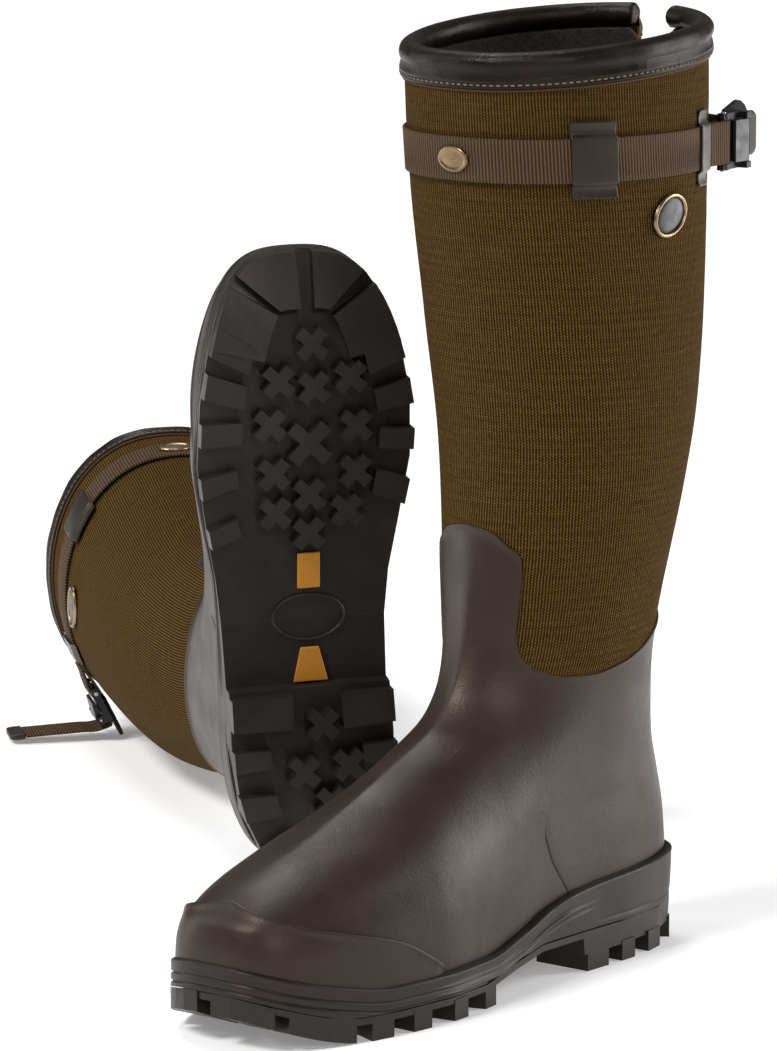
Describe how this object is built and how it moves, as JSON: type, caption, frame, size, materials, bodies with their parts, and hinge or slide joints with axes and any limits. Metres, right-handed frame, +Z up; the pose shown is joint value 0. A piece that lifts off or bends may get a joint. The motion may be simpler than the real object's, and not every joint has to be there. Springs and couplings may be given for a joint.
{
  "type": "insulated hunting boots",
  "caption": "Pair of tall insulated boots with a rubber foot, lugged sole, woven shaft, rolled leather collar and a buckled top strap.",
  "frame": {"origin": "centre of the pair's bounding box at floor level", "axes": "+Z up; the standing boot's toe points along -Y; the other boot lies on its back towards -X with its sole facing the front"},
  "size_m": [0.6006, 0.5724, 0.436],
  "materials": {
    "tread_rubber": "matt, near black",
    "rand_rubber": "satin, dark grey brown",
    "shell_rubber": "satin, dark brown, finely grained",
    "orange_rubber": "satin, amber",
    "foam": "matt foam",
    "steel": "brushed",
    "board": "fibre board",
    "felt": "dark brushed felt",
    "weave": "ribbed olive brown weave",
    "stretch_knit": "black stretch knit",
    "leather": "satin, near black brown",
    "webbing": "ribbed brown webbing",
    "loop_leather": "matt dark brown",
    "loop_metal": "dark satin metal",
    "brass": "polished rim",
    "badge_face": "dark satin face",
    "buckle_plastic": "satin black brown",
    "ribbed_webbing": "black ribbed webbing"
  },
  "bodies": {
    "left_boot": {"left_outsole": "tread_rubber", "left_sole_insert_front": "orange_rubber", "left_sole_insert_rear": "orange_rubber", "left_midsole": "foam", "left_rand": "rand_rubber", "left_shank_plate": "steel", "left_insole_board": "board", "left_footbed": "felt", "left_foot_shell": "shell_rubber", "left_toe_cap": "shell_rubber", "left_heel_counter": "shell_rubber", "left_lining": "felt", "left_shaft": "weave", "left_back_gusset": "stretch_knit", "left_collar": "leather", "left_strap_band": "webbing", "left_side_loop": "loop_leather", "left_back_loop": "loop_metal", "left_strap_badge": "brass", "left_shaft_badge_rim": "brass", "left_shaft_badge_face": "badge_face", "left_strap_end": "webbing", "left_buckle_pin": "steel", "left_buckle_frame": "buckle_plastic", "left_lever_pin": "steel", "left_pull_tab": "ribbed_webbing", "left_strap_tail": "webbing", "left_tail_tip": "loop_leather"},
    "left_lever": {"left_buckle_lever": "buckle_plastic"},
    "right_boot": {"right_outsole": "tread_rubber", "right_sole_insert_front": "orange_rubber", "right_sole_insert_rear": "orange_rubber", "right_midsole": "foam", "right_rand": "rand_rubber", "right_shank_plate": "steel", "right_insole_board": "board", "right_footbed": "felt", "right_foot_shell": "shell_rubber", "right_toe_cap": "shell_rubber", "right_heel_counter": "shell_rubber", "right_lining": "felt", "right_shaft": "weave", "right_back_gusset": "stretch_knit", "right_collar": "leather", "right_strap_band": "webbing", "right_side_loop": "loop_leather", "right_back_loop": "loop_metal", "right_strap_badge": "brass", "right_shaft_badge_rim": "brass", "right_shaft_badge_face": "badge_face", "right_strap_end": "webbing", "right_buckle_pin": "steel", "right_buckle_frame": "buckle_plastic", "right_lever_pin": "steel", "right_pull_tab": "ribbed_webbing", "right_strap_tail": "webbing", "right_tail_tip": "loop_leather"},
    "right_lever": {"right_buckle_lever": "buckle_plastic"}
  },
  "joints": [
    {"name": "right_boot_lift", "type": "slide", "parent": "left_boot", "child": "right_boot", "axis": [0, 0, 1], "range_m": [0, 0.3]},
    {"name": "left_lever_open", "type": "hinge", "parent": "left_boot", "child": "left_lever", "pos_m": [0.28896, 0.02624, 0.37699], "axis": [0, 0, 1], "range_deg": [0, 100]},
    {"name": "right_lever_open", "type": "hinge", "parent": "right_boot", "child": "right_lever", "pos_m": [-0.24968, 0.16876, 0.01235], "axis": [0.7875, -0.6152, -0.0366], "range_deg": [0, 75]}
  ]
}
